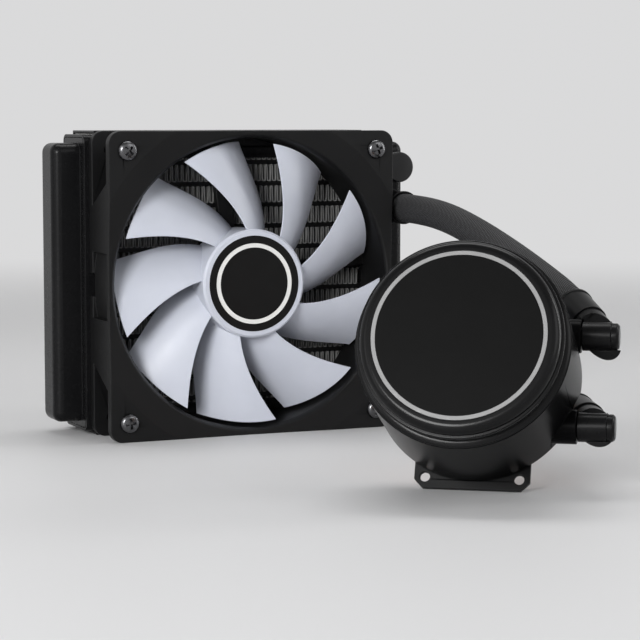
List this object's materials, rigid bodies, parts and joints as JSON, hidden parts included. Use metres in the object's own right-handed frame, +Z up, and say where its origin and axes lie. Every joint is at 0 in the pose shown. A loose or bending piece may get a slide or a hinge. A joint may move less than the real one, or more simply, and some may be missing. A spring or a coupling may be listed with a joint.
{
  "type": "all in one cpu liquid cooler",
  "caption": "Closed-loop liquid cooler: a radiator with a fan on its front, and a round pump with a cold plate on two braided hoses.",
  "frame": {"origin": "on the floor, under the middle of the radiator's bottom side plate", "axes": "-Y is the way the fan faces and the hoses leave, +X is the side of the tank with the fittings, +Z is up"},
  "size_m": [0.15, 0.2493, 0.12],
  "materials": {
    "black_plastic": "fine matte black moulding",
    "frosted_plastic": "frosted translucent white moulding",
    "hub_black": "smooth black label film",
    "pale_ring": "bright pale ring",
    "ring_grey": "light grey diffuser, unlit",
    "black_paint": "satin black paint on aluminium",
    "core_paint": "thin black paint on aluminium tubes and fins",
    "fitting_black": "satin black coating",
    "dark_plastic": "dark smooth moulding",
    "pump_black": "polished black moulding",
    "face_black": "even black smoked face",
    "plate_grey": "dark grey coated steel",
    "steel": "plain steel",
    "copper": null,
    "bronze": null,
    "rubber": "soft black rubber",
    "hose_braid": "black rubber hose in a fine black braid",
    "ferrite": "dark ferrite magnet",
    "white_ceramic": "polished ceramic",
    "board_green": "solder-masked circuit board",
    "inner_plastic": "glass-filled moulding"
  },
  "bodies": {
    "radiator": {"radiator_tubes": "core_paint", "radiator_fins": "core_paint", "side_plate_bottom": "black_paint", "side_plate_top": "black_paint", "header_plate_left": "black_paint", "header_plate_right": "black_paint", "tank_left": "black_paint", "tank_right": "black_paint", "tank_divider": "black_paint", "hose_fitting_upper": "fitting_black", "hose_fitting_lower": "fitting_black", "ferrule_radiator_upper": "fitting_black", "ferrule_radiator_lower": "fitting_black", "filler_neck": "black_paint", "filler_seal": "rubber", "filler_cap": "dark_plastic", "fan_frame": "black_plastic", "fan_screws": "steel", "sleeve_bearing": "bronze", "fan_stator_core": "steel", "fan_coils": "copper", "fan_circuit_board": "board_green", "pump_body": "pump_black", "pump_bezel": "pump_black", "face_light_ring": "ring_grey", "pump_face": "face_black", "light_board": "board_green", "pump_circuit_board": "board_green", "pump_stator_core": "steel", "pump_coils": "copper", "impeller_shaft": "white_ceramic", "base_gasket": "rubber", "volute_plate": "inner_plastic", "cold_plate": "copper", "cold_plate_screws": "steel", "mounting_plate": "plate_grey", "hose_upper": "hose_braid", "hose_lower": "hose_braid"},
    "fan_rotor": {"fan_rotor": "frosted_plastic", "hub_cap": "hub_black", "hub_light_ring": "pale_ring", "rotor_yoke": "steel", "rotor_magnet": "ferrite", "rotor_shaft": "steel", "shaft_clip": "steel"},
    "impeller": {"impeller": "inner_plastic", "impeller_magnet": "ferrite"},
    "elbow_upper": {"elbow_upper": "dark_plastic", "elbow_cap_upper": "dark_plastic", "port_seal_upper": "rubber", "ferrule_pump_upper": "fitting_black"},
    "elbow_lower": {"elbow_lower": "dark_plastic", "elbow_cap_lower": "dark_plastic", "port_seal_lower": "rubber", "ferrule_pump_lower": "fitting_black"}
  },
  "joints": [
    {"name": "fan_spin", "type": "hinge", "parent": "radiator", "child": "fan_rotor", "pos_m": [0, -0.026, 0.06], "axis": [0, -1, 0], "continuous": true},
    {"name": "impeller_spin", "type": "hinge", "parent": "radiator", "child": "impeller", "pos_m": [0.01982, -0.18518, 0.03978], "axis": [-0.5383, -0.7381, 0.4067], "continuous": true},
    {"name": "elbow_upper_swivel", "type": "hinge", "parent": "radiator", "child": "elbow_upper", "pos_m": [0.05844, -0.20265, 0.0518], "axis": [0.808, -0.5892, 0], "range_deg": [-10, 10], "deforming": ["hose_upper"]},
    {"name": "elbow_lower_swivel", "type": "hinge", "parent": "radiator", "child": "elbow_lower", "pos_m": [0.05079, -0.21314, 0.02266], "axis": [0.808, -0.5892, 0], "range_deg": [-10, 4], "deforming": ["hose_lower"]}
  ]
}
